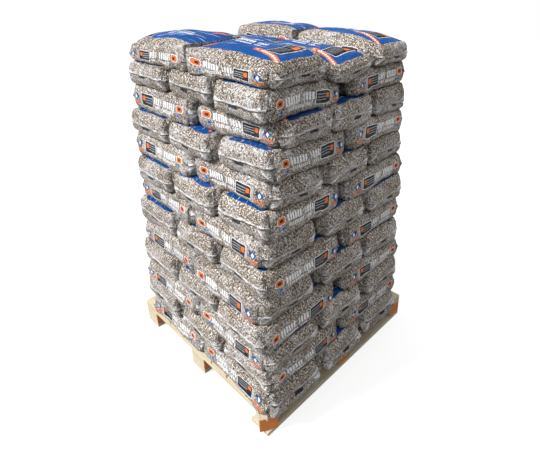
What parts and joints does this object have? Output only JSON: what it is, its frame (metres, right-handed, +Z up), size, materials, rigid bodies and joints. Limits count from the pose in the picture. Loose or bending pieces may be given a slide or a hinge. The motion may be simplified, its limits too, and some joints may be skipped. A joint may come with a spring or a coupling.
{
  "type": "pallet of sacks",
  "caption": "Square wood block pallet stacked with interlocked layers of clear film sacks of wood pellets, open under the deck for forks.",
  "frame": {"origin": "on the floor, in the middle of the whole footprint (the pallet and the sacks that overhang it)", "axes": "+Z up; -Y is the front of the pallet, where the front stringer's edge shows and forks enter between the bottom runners; +X is the side along the right bottom runner"},
  "size_m": [1.1606, 1.1624, 1.788],
  "materials": {
    "pallet_pine": "rough sawn new pine, pale cream, with knots and brown stained end grain",
    "sack_film": "clear glossy polyethylene film over grey-brown wood pellets, with printed panels, welded end seams and folded corners"
  },
  "bodies": {
    "root": {"bottom_runner_left": "pallet_pine", "bottom_runner_middle": "pallet_pine", "bottom_runner_right": "pallet_pine", "block_left_front": "pallet_pine", "block_left_centre": "pallet_pine", "block_left_back": "pallet_pine", "block_middle_front": "pallet_pine", "block_middle_centre": "pallet_pine", "block_middle_back": "pallet_pine", "block_right_front": "pallet_pine", "block_right_centre": "pallet_pine", "block_right_back": "pallet_pine", "stringer_front": "pallet_pine", "stringer_centre": "pallet_pine", "stringer_back": "pallet_pine", "deck_board_1": "pallet_pine", "deck_board_2": "pallet_pine", "deck_board_3": "pallet_pine", "deck_board_4": "pallet_pine", "deck_board_5": "pallet_pine", "deck_board_6": "pallet_pine", "deck_board_7": "pallet_pine", "deck_board_8": "pallet_pine", "sack_layer_01": "sack_film", "sack_layer_02": "sack_film", "sack_layer_03": "sack_film", "sack_layer_04": "sack_film", "sack_layer_05": "sack_film", "sack_layer_06": "sack_film", "sack_layer_07": "sack_film", "sack_layer_08": "sack_film", "sack_layer_09": "sack_film", "sack_layer_10": "sack_film", "sack_layer_11": "sack_film", "sack_layer_12": "sack_film", "top_sack_left_front": "sack_film", "top_sack_left_centre": "sack_film", "top_sack_left_back": "sack_film", "top_sack_right_front": "sack_film", "top_sack_right_centre": "sack_film", "top_sack_right_back": "sack_film"}
  },
  "joints": []
}
